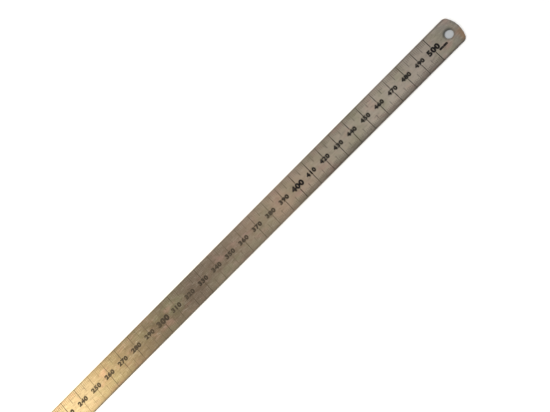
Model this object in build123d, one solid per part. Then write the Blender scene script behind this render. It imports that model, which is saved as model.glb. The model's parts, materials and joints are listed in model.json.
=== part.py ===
from build123d import *
import os

# Flexible steel rule, lying flat with its etched face up. All sizes are in millimetres.
# X runs from the square zero end to the rounded hang end, and Y runs across the blade:
# +Y is the edge for whole millimetres, and -Y the edge for half millimetres.
# The origin is at the zero end, on the centre line, on the plain back face.

# Steel blade
scale_length = 500.0
tail_length = 18.2
blade_width = 18.0
blade_thickness = 0.5
edge_break = 0.08
end_crown_radius = 17.0
end_corner_radius = 3.0

# Punched hang hole, with its rim eased more on the etched face
hole_diameter = 5.0
hole_to_tip = 6.7
rim_width = 0.6
rim_depth = 0.2

# Steps of the scale that carry a figure, a larger figure, or a longer mark halfway between figures
halfway_step = 5.0
figure_step = 10.0
large_figure_step = 100.0

# Etched recesses of the marks at those steps, each filled flush with black enamel
etch_depth = 0.04
five_mm_mark_length = 5.7
five_mm_mark_width = 0.24
ten_mm_mark_width = 0.38
hundred_mark_width = 0.4
end_line_width = 0.42

# Bare band along the middle of the blade that the longest marks leave for the figures
figures_foot = -1.25
figures_height = 2.85
hundred_figures_foot = -1.85
hundred_figures_height = 3.75
figures_margin = 0.25

blade_length = scale_length + tail_length
half_width = blade_width / 2
hole_position = blade_length - hole_to_tip


def blade_outline():
    """Outline of the strip: square at zero, and at the other end a crown with rounded corners."""
    crown_drop = end_crown_radius - (end_crown_radius**2 - half_width**2) ** 0.5
    shoulder = blade_length - crown_drop
    sides = Polyline(
        (shoulder, -half_width),
        (0, -half_width),
        (0, half_width),
        (shoulder, half_width),
    )
    crown = ThreePointArc((shoulder, half_width), (blade_length, 0), (shoulder, -half_width))
    strip = make_face(sides + crown)
    corners = strip.vertices().group_by(Axis.X)[-1]
    return fillet(corners, end_corner_radius)


def hang_hole():
    """Material punched out for the hang hole: a straight bore with an eased rim on each face."""
    radius = hole_diameter / 2
    half_section = Polyline(
        (0, 0),
        (radius + edge_break, 0),
        (radius, edge_break),
        (radius, blade_thickness - rim_depth),
        (radius + rim_width, blade_thickness),
        (0, blade_thickness),
        close=True,
    )
    upright = Plane.XZ * make_face(half_section)
    return Pos(hole_position, 0, 0) * revolve(upright, Axis.Z)


def blade_blank():
    """The strip before etching, its edges broken everywhere but at the zero end, which stays sharp."""
    strip = extrude(blade_outline(), amount=blade_thickness)
    edges = strip.edges()
    broken = edges - edges.filter_by(Axis.Y) - edges.filter_by(Axis.Z)
    return chamfer(broken, edge_break) - hang_hole()


def mark_places(step, coarser_step):
    """Distances from zero at each whole step short of the end, but for those of a coarser step."""
    ratio = round(coarser_step / step)
    count = round(scale_length / step)
    return [step * number for number in range(1, count) if number % ratio]


def upper_bars(places, width, inner_end):
    """Bars across the etched face from inner_end out past the +Y edge."""
    return [bar(place, width, inner_end, blade_width) for place in places]


def lower_bars(places, width, inner_end):
    """Bars across the etched face from inner_end out past the -Y edge."""
    return [bar(place, width, -blade_width, inner_end) for place in places]


def bar(place, width, low, high):
    """One bar, sunk by the etched depth and standing as far above the face."""
    middle = (low + high) / 2
    return Pos(place, middle, blade_thickness) * Box(width, high - low, 2 * etch_depth)


def all_bars():
    """The bars of every group of marks, by the name of the group."""
    fives = mark_places(halfway_step, figure_step)
    tens = mark_places(figure_step, large_figure_step)
    hundreds = mark_places(large_figure_step, scale_length)
    above_figures = figures_foot + figures_height + figures_margin
    below_figures = figures_foot - figures_margin
    above_hundreds = hundred_figures_foot + hundred_figures_height + figures_margin
    below_hundreds = hundred_figures_foot - figures_margin
    return {
        "upper_5mm_marks": upper_bars(fives, five_mm_mark_width, half_width - five_mm_mark_length),
        "upper_10mm_marks": upper_bars(tens, ten_mm_mark_width, above_figures),
        "upper_100mm_marks": upper_bars(hundreds, hundred_mark_width, above_hundreds),
        "lower_5mm_marks": lower_bars(fives, five_mm_mark_width, five_mm_mark_length - half_width),
        "lower_10mm_marks": lower_bars(tens, ten_mm_mark_width, below_figures),
        "lower_100mm_marks": lower_bars(hundreds, hundred_mark_width, below_hundreds),
        "end_line": upper_bars([scale_length], end_line_width, above_hundreds)
        + lower_bars([scale_length], end_line_width, below_hundreds),
    }


def main():
    """Etch the blank under every bar, fill each recess flush, and write one file per node."""
    blank = blade_blank()
    groups = all_bars()
    every_bar = [one for bars in groups.values() for one in bars]
    nodes = {"blade": blank - every_bar}
    for name, bars in groups.items():
        nodes[name] = blank & Compound(bars)
    os.makedirs("parts", exist_ok=True)
    for name, shape in nodes.items():
        export_step(shape, f"parts/{name}.step")
        print(name, len(shape.solids()), "solids", round(shape.volume, 3), "mm3")


main()
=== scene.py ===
import bpy
import json
import math
from mathutils import Matrix, Vector


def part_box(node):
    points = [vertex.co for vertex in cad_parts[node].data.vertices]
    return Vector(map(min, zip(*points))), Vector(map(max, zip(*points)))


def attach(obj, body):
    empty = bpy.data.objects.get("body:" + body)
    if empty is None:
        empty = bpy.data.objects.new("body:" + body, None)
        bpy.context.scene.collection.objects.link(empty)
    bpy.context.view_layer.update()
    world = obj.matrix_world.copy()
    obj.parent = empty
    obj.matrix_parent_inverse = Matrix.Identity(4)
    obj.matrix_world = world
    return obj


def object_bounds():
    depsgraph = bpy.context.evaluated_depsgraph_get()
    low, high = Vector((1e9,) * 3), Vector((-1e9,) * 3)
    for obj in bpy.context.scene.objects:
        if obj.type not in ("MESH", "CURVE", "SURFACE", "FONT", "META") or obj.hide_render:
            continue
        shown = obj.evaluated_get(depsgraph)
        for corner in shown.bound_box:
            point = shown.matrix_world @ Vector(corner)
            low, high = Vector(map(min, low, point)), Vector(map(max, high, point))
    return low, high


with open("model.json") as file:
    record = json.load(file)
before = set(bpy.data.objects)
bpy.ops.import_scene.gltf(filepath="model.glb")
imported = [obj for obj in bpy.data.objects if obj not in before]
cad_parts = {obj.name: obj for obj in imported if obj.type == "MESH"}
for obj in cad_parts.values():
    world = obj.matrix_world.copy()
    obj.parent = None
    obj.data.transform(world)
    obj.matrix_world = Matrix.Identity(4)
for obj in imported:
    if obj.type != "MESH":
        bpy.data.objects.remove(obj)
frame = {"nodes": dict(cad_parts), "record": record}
cad_low, cad_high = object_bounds()

# The blade: one strip of stainless spring steel, rolled, blanked and brushed along its length.
# Years of handling have left it a warm grey, browner where it is held most, with faint mottling,
# hairline scratches and pits, and rubbed edges. It is darker towards its edges, and painted
# shade darkens the rim of the hang hole.

MM = 0.001
blade = frame["nodes"]["blade"]
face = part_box("blade")[1].z
half_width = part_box("blade")[1].y
end_line_low, end_line_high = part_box("end_line")
scale_length = (end_line_low.x + end_line_high.x) / 2
hole = Vector(next(m["pos_m"] for m in frame["record"]["mounts"] if m["name"] == "hang_hole"))


class Link:
    """A node's output socket that can be used in a Python expression."""

    def __init__(self, shader, socket):
        self.shader = shader
        self.socket = socket

    def maths(self, operation, *values):
        """A Math node of this operation on these values, in order."""
        return self.shader.node("ShaderNodeMath", {"operation": operation}, dict(enumerate(values)))

    def __add__(self, other):
        return self.maths("ADD", self, other)

    def __radd__(self, other):
        return self.maths("ADD", other, self)

    def __sub__(self, other):
        return self.maths("SUBTRACT", self, other)

    def __rsub__(self, other):
        return self.maths("SUBTRACT", other, self)

    def __mul__(self, other):
        return self.maths("MULTIPLY", self, other)

    def __rmul__(self, other):
        return self.maths("MULTIPLY", other, self)

    def __abs__(self):
        return self.maths("ABSOLUTE", self)

    def __pow__(self, other):
        return self.maths("POWER", self, other)

    def ramp(self, low, high):
        """0 at low and 1 at high, with a smooth slope between them."""
        sockets = {"Value": self, "From Min": low, "From Max": high}
        settings = {"interpolation_type": "SMOOTHSTEP"}
        return self.shader.node("ShaderNodeMapRange", settings, sockets)


class Shader:
    """The node tree of one new material, built by calls that return its outputs."""

    def __init__(self, name):
        self.material = bpy.data.materials.new(name)
        self.material.use_nodes = True
        self.tree = self.material.node_tree
        self.surface = self.tree.nodes["Principled BSDF"]

    def fill(self, socket, value):
        """Link or set one input."""
        if isinstance(value, Link):
            self.tree.links.new(value.socket, socket)
        else:
            socket.default_value = value

    def node(self, kind, settings=None, sockets=None, output=0):
        """A node with its settings made first, then its sockets set or linked."""
        made = self.tree.nodes.new(kind)
        for name, value in (settings or {}).items():
            if name == "stops":
                self.set_stops(made.color_ramp.elements, value)
            else:
                setattr(made, name, value)
        for name, value in (sockets or {}).items():
            self.fill(made.inputs[name], value)
        return Link(self, made.outputs[output])

    def set_stops(self, elements, stops):
        """Give a new colour ramp these stops, each a place from 0 to 1 and a colour."""
        while len(elements) < len(stops):
            elements.new(0.5)
        for element, (place, colour) in zip(elements, sorted(stops)):
            element.position = place
            element.color = colour

    def place(self):
        """The object coordinates, in metres."""
        return self.node("ShaderNodeTexCoord", output="Object")

    def along_and_across(self, place):
        """How far a place lies along the blade and across it, as numbers."""
        apart = self.node("ShaderNodeSeparateXYZ", {}, {0: place}).socket.node
        return Link(self, apart.outputs["X"]), Link(self, apart.outputs["Y"])

    def noise(self, place, stretch, scale, detail=3.0, roughness=0.55):
        """Noise from 0 to 1, on a place stretched along each axis."""
        stretched = self.node(
            "ShaderNodeVectorMath", {"operation": "MULTIPLY"}, {0: place, 1: stretch}
        )
        sockets = {"Vector": stretched, "Scale": scale, "Detail": detail, "Roughness": roughness}
        return self.node("ShaderNodeTexNoise", {}, sockets)

    def scratches(self, place, turn, stretch):
        """1 on rare thin lines, turned by this much from the length of the blade, and 0 elsewhere."""
        sockets = {"Vector": place, "Angle": turn}
        turned = self.node("ShaderNodeVectorRotate", {"rotation_type": "Z_AXIS"}, sockets)
        return self.noise(turned, stretch, 4, 2, 0.5).ramp(0.66, 0.71)

    def blend(self, share, first, second):
        """A colour between two others. The node has other sockets of the same names, so the
        sockets for colours are given by number."""
        first_socket, second_socket, colour_output = 6, 7, 2
        sockets = {"Factor": share, first_socket: first, second_socket: second}
        return self.node("ShaderNodeMix", {"data_type": "RGBA"}, sockets, colour_output)

    def finish(self, **sockets):
        """The material, with the surface's own sockets linked or set; _ stands for a space."""
        for name, value in sockets.items():
            self.fill(self.surface.inputs[name.replace("_", " ")], value)
        return self.material


def worn_steel():
    """Satin steel: patina along the blade, rolled grain, mottled tone, scratches, pits, darker edges
    and painted shade round the hang hole.
    """
    steel = Shader("worn_steel")
    place = steel.place()
    along, across = steel.along_and_across(place)
    clouds = steel.noise(place, (1, 1, 1), 60, 4)
    tint = steel.noise(place, (0.8, 1.4, 1), 130, 3)
    mottle = steel.noise(place, (0.5, 1.4, 1), 700, 4, 0.7)
    grain = steel.noise(place, (25, 900, 25), 5, 4, 0.7)
    pits = steel.noise(place, (1, 1, 1), 800, 2, 0.5).ramp(0.70, 0.78)
    hairlines = steel.scratches(place, 0, (5, 700, 5))
    crossing = steel.scratches(place, math.radians(24), (9, 500, 9))
    scratches = hairlines + crossing * 0.6

    dark = (0.045, 0.034, 0.026, 1)
    bright = (0.420, 0.375, 0.310, 1)
    olive = (0.212, 0.205, 0.125, 1)
    rosy = (0.325, 0.205, 0.165, 1)
    # The colour of the painted shade round the hang hole.
    hole_rim_shade = (0.045, 0.050, 0.048, 1)
    stain_brown = (0.240, 0.130, 0.060, 1)
    patina = [
        (0.000, (0.260, 0.222, 0.172, 1)),
        (0.245, (0.262, 0.220, 0.166, 1)),
        (0.258, (0.230, 0.182, 0.120, 1)),
        (0.304, (0.114, 0.086, 0.058, 1)),
        (0.325, (0.140, 0.104, 0.075, 1)),
        (0.350, (0.188, 0.140, 0.098, 1)),
        (0.388, (0.325, 0.234, 0.160, 1)),
        (0.425, (0.280, 0.238, 0.180, 1)),
        (0.465, (0.325, 0.280, 0.226, 1)),
        (0.500, (0.265, 0.226, 0.188, 1)),
        (0.518, (0.178, 0.164, 0.142, 1)),
    ]
    stops = [(metres / cad_high.x, colour) for metres, colour in patina]
    colour = steel.node("ShaderNodeValToRGB", {"stops": stops}, {"Fac": along * (1 / cad_high.x)})
    colour = steel.blend(clouds.ramp(0.45, 0.68) * 0.50, colour, olive)
    colour = steel.blend(tint.ramp(0.50, 0.72) * 0.50, colour, rosy)
    colour = steel.blend(grain.ramp(0.50, 0.80) * 0.55, colour, bright)
    colour = steel.blend(grain.ramp(0.50, 0.20) * 0.55, colour, dark)
    colour = steel.blend(mottle.ramp(0.50, 0.82) * 0.50, colour, bright)
    colour = steel.blend(mottle.ramp(0.50, 0.18) * 0.60, colour, dark)
    colour = steel.blend(scratches * 0.45, colour, bright)
    colour = steel.blend(pits * 0.7, colour, dark)

    # Painted shade and painted dark reflection on the rim round the hole fade between two radii, and
    # are heavier on its upper side.
    rim_shade_full = 3.0 * MM
    rim_shade_gone = 4.2 * MM
    aside = along - hole.x
    above = across - hole.y
    from_hole = (aside * aside + above * above) ** 0.5
    rim = 1 - from_hole.ramp(rim_shade_full, rim_shade_gone)
    rim_shade_share = rim * (0.22 + 0.50 * above.ramp(-1.0 * MM, 2.4 * MM))
    colour = steel.blend(rim_shade_share, colour, hole_rim_shade)

    # The brown stain lies between the hole and the tip, on the lower side.
    stain_start = hole.x + 1 * MM
    stain_full = hole.x + 5 * MM
    tip_stain = along.ramp(stain_start, stain_full) * (1 - across.ramp(-5 * MM, 2 * MM))
    colour = steel.blend(tip_stain * clouds.ramp(0.25, 0.55) * 0.6, colour, stain_brown)

    # Where the blade is held most, its edges are rubbed brighter. The steel is darker towards both
    # edges, more towards the lower one, and less so where it is held.
    rubbed_depth = 6 * MM
    rubbed_full_depth = 2 * MM
    edge_dark_depth = 1.3 * MM
    lower_dark_depth = 2.6 * MM
    held = along.ramp(0.275, 0.300) * (1 - along.ramp(0.400, 0.430))
    rubbed = held * abs(across).ramp(half_width - rubbed_depth, half_width - rubbed_full_depth)
    colour = steel.blend(rubbed * 0.10, colour, bright)
    edge_darkening = abs(across).ramp(half_width - edge_dark_depth, half_width) * (0.25 + 0.6 * clouds)
    colour = steel.blend(edge_darkening * (1 - 0.5 * held), colour, dark)
    lower_darkening = across.ramp(lower_dark_depth - half_width, -half_width) * (1 - 0.5 * held)
    colour = steel.blend(lower_darkening * 0.22, colour, dark)

    gloss = 0.25 + 0.08 * clouds + 0.10 * grain + 0.10 * pits - 0.08 * scratches
    height = grain + mottle * 0.5 - scratches * 0.4 - pits * 0.6
    bump = steel.node(
        "ShaderNodeBump", {}, {"Strength": 0.3, "Distance": 0.01 * MM, "Height": height}
    )
    return steel.finish(Base_Color=colour, Metallic=1.0, Roughness=gloss, Normal=bump)


blade.data.materials.clear()
blade.data.materials.append(worn_steel())

# The marks at every fifth millimetre and the line that closes the scale: black enamel, baked in
# the etched recesses and wiped flush. It has worn thin and brown where the blade is held most.


def worn_enamel(name, least, most):
    """Matt black enamel. Where the blade is handled, a share of it has worn down to the steel,
    from least to most in patches."""
    enamel = Shader(name)
    place = enamel.place()
    along, across = enamel.along_and_across(place)
    patches = enamel.noise(place, (1, 1, 1), 90, 3)
    crumbs = enamel.noise(place, (1, 1, 1), 1400, 3, 0.6)
    handled = along.ramp(0.215, 0.240) * (1 - along.ramp(0.380, 0.402))
    wear = handled * (least + (most - least) * patches.ramp(0.35, 0.65))
    wear = wear + crumbs.ramp(0.58, 0.80) * 0.10
    black = (0.003, 0.002, 0.002, 1)
    bare_steel = (0.190, 0.150, 0.105, 1)
    colour = enamel.blend(wear, black, bare_steel)
    return enamel.finish(
        Base_Color=colour, Metallic=wear, Roughness=0.5 - 0.2 * wear, Specular_IOR_Level=0.12
    )


mark_enamel = worn_enamel("mark_enamel", least=0.35, most=0.85)
for name, node in frame["nodes"].items():
    if name != "blade":
        node.data.materials.clear()
        node.data.materials.append(mark_enamel)

# The fine marks between them: whole millimetres along both edges, and half millimetres along one.
# Each is a bar of the same enamel, set into the steel from just inside the edge and standing a hair
# above it. These are the thinnest fillings, so they wear out first.

FILL_ABOVE = 0.008 * MM
FILL_BELOW = 0.03 * MM
EDGE_MARGIN = 0.09 * MM
fine_enamel = worn_enamel("fine_enamel", least=0.60, most=0.98)


def fine_marks(name, first, width, length, side, repeats):
    """Alike bars from one edge inwards: side is 1 for the upper edge and -1 for the lower. Each
    repeat is a count and a pitch along the rule."""
    bpy.ops.object.select_all(action="DESELECT")
    inwards = half_width - EDGE_MARGIN - length / 2
    bpy.ops.mesh.primitive_plane_add(size=1, location=(first, side * inwards, face - FILL_BELOW))
    marks = bpy.context.object
    marks.name = name
    marks.data.name = name
    bpy.ops.object.mode_set(mode="EDIT")
    bpy.ops.transform.resize(value=(width, length, 1))
    bpy.ops.mesh.extrude_region_move(
        TRANSFORM_OT_translate={"value": (0, 0, FILL_ABOVE + FILL_BELOW)}
    )
    bpy.ops.transform.resize(value=(1 - FILL_ABOVE / width, 1 - FILL_ABOVE / length, 1))
    bpy.ops.mesh.select_all(action="SELECT")
    bpy.ops.mesh.normals_make_consistent(inside=False)
    bpy.ops.object.mode_set(mode="OBJECT")
    bpy.ops.object.transform_apply(location=True, rotation=True, scale=True)
    for number, (count, pitch) in enumerate(repeats):
        row = marks.modifiers.new(f"row_{number}", "ARRAY")
        row.count = count
        row.use_relative_offset = False
        row.use_constant_offset = True
        row.constant_offset_displace = (pitch, 0, 0)
        bpy.ops.object.modifier_apply(modifier=row.name)
    marks.data.materials.append(fine_enamel)
    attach(marks, "root")


HALFWAY_STEP = 5
whole_mm = round(scale_length / MM)
all_but_fifths = [(HALFWAY_STEP - 1, MM), (whole_mm // HALFWAY_STEP, HALFWAY_STEP * MM)]
fine_marks(
    "upper_mm_marks", first=MM, width=0.18 * MM, length=3.6 * MM, side=1, repeats=all_but_fifths
)
fine_marks(
    "lower_mm_marks", first=MM, width=0.20 * MM, length=3.7 * MM, side=-1, repeats=all_but_fifths
)
fine_marks(
    "lower_half_mm_marks",
    first=MM / 2,
    width=0.19 * MM,
    length=2.5 * MM,
    side=-1,
    repeats=[(whole_mm, MM)],
)

# The figures: every tenth millimetre is numbered, larger at the hundreds, with the unit after the
# last one. They are filled like the marks, in a plain bold upright letter.

FIGURE_STEP = 10
LARGE_FIGURE_STEP = 100
WELD_DISTANCE = 0.001 * MM
figure_enamel = worn_enamel("figure_enamel", least=0.21, most=0.32)


def lettering(name, words, middle, foot, width, height, weight):
    """Filled lettering of this size on the blade, centred on a place along it. The weight
    thickens every stroke, and the letters are spaced out to suit."""
    bpy.ops.object.select_all(action="DESELECT")
    bpy.ops.object.text_add()
    letters = bpy.context.object
    letters.name = name
    letters.data.body = words
    letters.data.offset = weight
    letters.data.space_character = 1.0 + 2 * weight
    letters.data.resolution_u = 4
    letters.data.extrude = 0.5
    bpy.ops.object.convert(target="MESH")
    letters.data.name = name
    corners = [Vector(corner) for corner in letters.bound_box]
    low, high = corners[0], corners[6]
    letters.scale = (
        width / (high.x - low.x),
        height / (high.y - low.y),
        (FILL_ABOVE + FILL_BELOW) / (high.z - low.z),
    )
    letters.location = (
        middle - width / 2 - low.x * letters.scale.x,
        foot - low.y * letters.scale.y,
        face - FILL_BELOW - low.z * letters.scale.z,
    )
    bpy.ops.object.transform_apply(location=True, rotation=True, scale=True)
    bpy.ops.object.mode_set(mode="EDIT")
    bpy.ops.mesh.select_all(action="SELECT")
    bpy.ops.mesh.remove_doubles(threshold=WELD_DISTANCE)
    bpy.ops.mesh.normals_make_consistent(inside=False)
    bpy.ops.object.mode_set(mode="OBJECT")
    letters.data.materials.append(figure_enamel)
    return letters


def etched(name, pieces):
    """Pieces of lettering joined as one object that rides on the blade."""
    bpy.ops.object.select_all(action="DESELECT")
    for piece in pieces:
        piece.select_set(True)
    bpy.context.view_layer.objects.active = pieces[0]
    if len(pieces) > 1:
        bpy.ops.object.join()
    pieces[0].name = name
    pieces[0].data.name = name
    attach(pieces[0], "root")


def figure(number, foot, pitch, height, weight):
    """One number, centred on its own mark. Two digits are narrower than three by one pitch."""
    words = str(number)
    width = pitch * len(words)
    return lettering(f"figure_{words}", words, number * MM, foot, width, height, weight)


tens = [number for number in range(FIGURE_STEP, whole_mm, FIGURE_STEP) if number % LARGE_FIGURE_STEP]
hundreds = list(range(LARGE_FIGURE_STEP, whole_mm + 1, LARGE_FIGURE_STEP))
small_figures = [
    figure(number, foot=-1.36 * MM, pitch=2.12 * MM, height=2.98 * MM, weight=0.07)
    for number in tens
]
etched("figures", small_figures)
large_figures = [
    figure(number, foot=-1.88 * MM, pitch=2.68 * MM, height=3.8 * MM, weight=0.07)
    for number in hundreds
]
etched("hundred_figures", large_figures)
unit_mark = lettering(
    "unit_mark",
    "mm",
    middle=scale_length + 5.0 * MM,
    foot=-3.45 * MM,
    width=5.6 * MM,
    height=1.5 * MM,
    weight=0.09,
)
etched("unit_mark", [unit_mark])

# The floor: a plain matt white surface, a hair below the rule so that the two faces don't meet.
# It is large enough to fill every view from above.

FLOOR_SIZE = 16
FLOOR_GAP = 0.02 * MM
bpy.ops.object.select_all(action="DESELECT")
bpy.ops.mesh.primitive_plane_add(
    size=FLOOR_SIZE, location=(scale_length / 2, 0, cad_low.z - FLOOR_GAP)
)
floor = bpy.context.object
floor.name = "floor"
white_floor = Shader("white_floor")
floor.data.materials.append(white_floor.finish(Base_Color=(0.98, 0.98, 0.98, 1), Roughness=1.0))

# The card: a small round of pale blue-grey card under the hang end. The blade covers all of it but
# what shows through the hang hole, which then stands out from the steel and from the white floor.

CARD_RADIUS = 4.5 * MM
CARD_GAP = 0.01 * MM
bpy.ops.object.select_all(action="DESELECT")
bpy.ops.mesh.primitive_circle_add(
    vertices=48,
    radius=CARD_RADIUS,
    fill_type="NGON",
    location=(hole.x, hole.y, cad_low.z - CARD_GAP),
)
card = bpy.context.object
card.name = "card"
# Its grey stands partly for grey paper under the hang end and partly for painted shade in the hole.
grey_card_and_shade = Shader("grey_card_and_shade")
card.data.materials.append(grey_card_and_shade.finish(Base_Color=(0.42, 0.44, 0.46, 1), Roughness=1.0))

# The camera: looking down at the outer half of the rule from in front of its lower edge, and turned
# so that the rule climbs to the right. The azimuth is how far it stands towards the hang end.

SENSOR_WIDTH = 36
LENS_LENGTH = 117.8
CAMERA_DISTANCE = 0.9411
CAMERA_AZIMUTH = math.radians(5.63)
CAMERA_ELEVATION = math.radians(62.31)
CAMERA_ROLL = math.radians(50.10)
looked_at = Vector((384.25 * MM, 1.12 * MM, face))
camera_back = Vector(
    (
        math.sin(CAMERA_AZIMUTH) * math.cos(CAMERA_ELEVATION),
        -math.cos(CAMERA_AZIMUTH) * math.cos(CAMERA_ELEVATION),
        math.sin(CAMERA_ELEVATION),
    )
)
camera_data = bpy.data.cameras.new("camera")
camera_data.sensor_width = SENSOR_WIDTH
camera_data.lens = LENS_LENGTH
camera = bpy.data.objects.new("camera", camera_data)
bpy.context.scene.collection.objects.link(camera)
camera.location = looked_at + camera_back * CAMERA_DISTANCE
upright = (-camera_back).to_track_quat("-Z", "Y").to_matrix()
camera.rotation_euler = (upright @ Matrix.Rotation(-CAMERA_ROLL, 3, "Z")).to_euler()
bpy.context.scene.camera = camera

# The light: a plain white surround, a weak soft lamp mirrored in the outer part of the blade, and
# a low warm one whose reflection gilds the steel towards the zero end.

world = bpy.data.worlds.new("surround")
bpy.context.scene.world = world
world.use_nodes = True
world.node_tree.nodes["Background"].inputs["Color"].default_value = (1, 1, 1, 1)
world.node_tree.nodes["Background"].inputs["Strength"].default_value = 1.0


def mirrored_at(along, height):
    """The point at a height that the camera sees mirrored in the blade at a place along it."""
    spot = Vector((along, 0, face))
    sight = spot - camera.location
    return spot + Vector((sight.x, sight.y, -sight.z)) * (height / -sight.z)


def lamp(name, centre, length, width, brightness, colour):
    """A soft downward lamp whose own surface has this brightness, 1 being white."""
    data = bpy.data.lights.new(name, "AREA")
    data.shape = "RECTANGLE"
    data.size = length
    data.size_y = width
    data.energy = brightness * math.pi * length * width
    data.color = colour
    made = bpy.data.objects.new(name, data)
    bpy.context.scene.collection.objects.link(made)
    made.location = centre
    made.visible_camera = False


lamp(
    "soft_lamp",
    centre=mirrored_at(along=0.440, height=1.2),
    length=0.30,
    width=0.5,
    brightness=0.35,
    colour=(0.9, 0.97, 1.0),
)
GLOW_LENGTH = 0.35
glow_edge = mirrored_at(along=0.264, height=0.2)
lamp(
    "warm_lamp",
    centre=glow_edge - Vector((GLOW_LENGTH / 2, 0, 0)),
    length=GLOW_LENGTH,
    width=0.2,
    brightness=4.1,
    colour=(1, 0.82, 0.42),
)

bpy.context.scene.view_settings.view_transform = "Standard"
